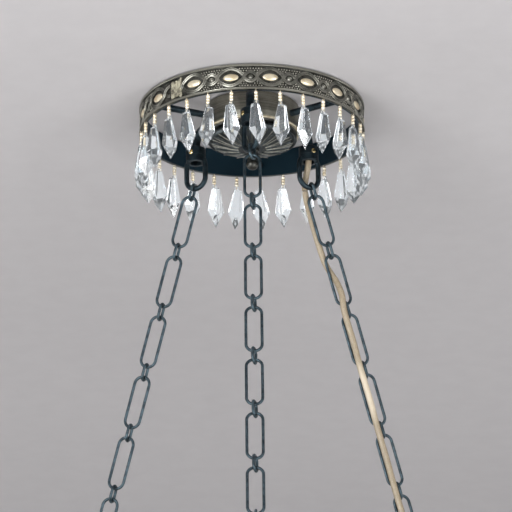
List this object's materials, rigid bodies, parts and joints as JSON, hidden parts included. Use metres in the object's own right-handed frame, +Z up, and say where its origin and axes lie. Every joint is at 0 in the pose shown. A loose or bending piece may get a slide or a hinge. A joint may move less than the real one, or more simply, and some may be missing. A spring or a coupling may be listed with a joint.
{
  "type": "pendant lamp",
  "caption": "Pendant lamp: stamped ring crown on the ceiling with crystal drops, splayed link chains with a woven cable, and a ring lamp with a glass bowl below.",
  "frame": {"origin": "centre of the ceiling face, where the rod's end and the ceiling plate's top meet the ceiling", "axes": "+Z up into the ceiling, -Y towards the viewer, +X to the viewer's right"},
  "size_m": [0.5048, 0.5048, 0.7559],
  "materials": {
    "ceiling_steel": "zinc plated, satin",
    "antique_brass": "stamped relief, dark patina with rubbed highlights",
    "brushed_brass": "brushed antique brass, satin",
    "blackened_steel": "blue-black, satin",
    "chain_steel": "dark grey-green, satin",
    "polished_brass": "polished",
    "crystal": "clear, polished, on gold bead pins",
    "cable": "translucent beige sheath over gold strands",
    "block_plastic": "off-white",
    "holder_plastic": "black, moulded",
    "bulb_glass": "opal",
    "frosted_glass": "frosted"
  },
  "bodies": {
    "crown": {"ceiling_plate": "ceiling_steel", "threaded_rod": "polished_brass", "canopy_cup": "brushed_brass", "rosette": "antique_brass", "finial": "antique_brass", "ring_spider": "blackened_steel", "terminal_block": "block_plastic", "crown_band": "antique_brass", "crown_drops": "crystal", "crown_cable": "cable", "front_hook_stem": "blackened_steel", "front_hook_eye": "blackened_steel", "front_set_screw": "polished_brass", "left_hook_stem": "blackened_steel", "left_hook_eye": "blackened_steel", "left_set_screw": "polished_brass", "right_hook_stem": "blackened_steel", "right_hook_eye": "blackened_steel", "right_set_screw": "polished_brass"},
    "front_ring": {"front_top_ring": "chain_steel"},
    "front_chain": {"front_link_1": "chain_steel", "front_link_2": "chain_steel", "front_link_3": "chain_steel", "front_link_4": "chain_steel", "front_link_5": "chain_steel", "front_link_6": "chain_steel", "front_link_7": "chain_steel"},
    "left_ring": {"left_top_ring": "chain_steel"},
    "left_chain": {"left_link_1": "chain_steel", "left_link_2": "chain_steel", "left_link_3": "chain_steel", "left_link_4": "chain_steel", "left_link_5": "chain_steel", "left_link_6": "chain_steel", "left_link_7": "chain_steel"},
    "right_ring": {"right_top_ring": "chain_steel"},
    "right_chain": {"right_link_1": "chain_steel", "right_link_2": "chain_steel", "right_link_3": "chain_steel", "right_link_4": "chain_steel", "right_link_5": "chain_steel", "right_link_6": "chain_steel", "right_link_7": "chain_steel", "chain_cable": "cable"},
    "right_end": {"right_end_ring": "chain_steel"},
    "lamp": {"front_lamp_eye": "blackened_steel", "left_lamp_eye": "blackened_steel", "right_lamp_eye": "blackened_steel", "lamp_band": "antique_brass", "lamp_drops": "crystal", "lamp_spider": "blackened_steel", "lampholder_1": "holder_plastic", "lampholder_2": "holder_plastic", "lampholder_3": "holder_plastic", "bulb_1": "bulb_glass", "bulb_2": "bulb_glass", "bulb_3": "bulb_glass", "glass_bowl": "frosted_glass", "bowl_cap": "antique_brass", "lamp_cable": "cable"}
  },
  "joints": [
    {"name": "sway_front_back", "type": "hinge", "parent": "crown", "child": "right_ring", "pos_m": [0.06842, 0.0395, -0.08279], "axis": [1, 0, 0], "range_deg": [-4, 4]},
    {"name": "sway_left_right", "type": "hinge", "parent": "right_ring", "child": "right_chain", "pos_m": [0.0715, 0.04128, -0.09436], "axis": [0, 1, 0], "range_deg": [-4, 4]},
    {"name": "end_ring_tilt", "type": "hinge", "parent": "right_chain", "child": "right_end", "pos_m": [0.19722, 0.11387, -0.56624], "axis": [0, 1, 0], "range_deg": [-1.5, 1.5]},
    {"name": "lamp_tilt", "type": "hinge", "parent": "right_end", "child": "lamp", "pos_m": [0.20028, 0.11563, -0.5777], "axis": [1, 0, 0], "range_deg": [-1.4, 1.4]},
    {"name": "left_ring_tilt", "type": "hinge", "parent": "crown", "child": "left_ring", "pos_m": [-0.06842, 0.0395, -0.08279], "axis": [1, 0, 0], "range_deg": [-4, 4]},
    {"name": "left_chain_tilt", "type": "hinge", "parent": "left_ring", "child": "left_chain", "pos_m": [-0.0715, 0.04128, -0.09436], "axis": [0, 1, 0], "range_deg": [-4, 4]},
    {"name": "front_ring_tilt", "type": "hinge", "parent": "crown", "child": "front_ring", "pos_m": [0, -0.07912, -0.08318], "axis": [1, 0, 0], "range_deg": [-4, 4]},
    {"name": "front_chain_tilt", "type": "hinge", "parent": "front_ring", "child": "front_chain", "pos_m": [0, -0.08256, -0.09436], "axis": [0, 1, 0], "range_deg": [-4, 4]}
  ],
  "couplings": [
    {"joint": "end_ring_tilt", "follows": "sway_left_right", "ratio": -0.36},
    {"joint": "lamp_tilt", "follows": "sway_front_back", "ratio": -0.3417},
    {"joint": "left_ring_tilt", "follows": "sway_front_back", "ratio": 1},
    {"joint": "left_chain_tilt", "follows": "sway_left_right", "ratio": 1},
    {"joint": "front_ring_tilt", "follows": "sway_front_back", "ratio": 1},
    {"joint": "front_chain_tilt", "follows": "sway_left_right", "ratio": 1}
  ]
}
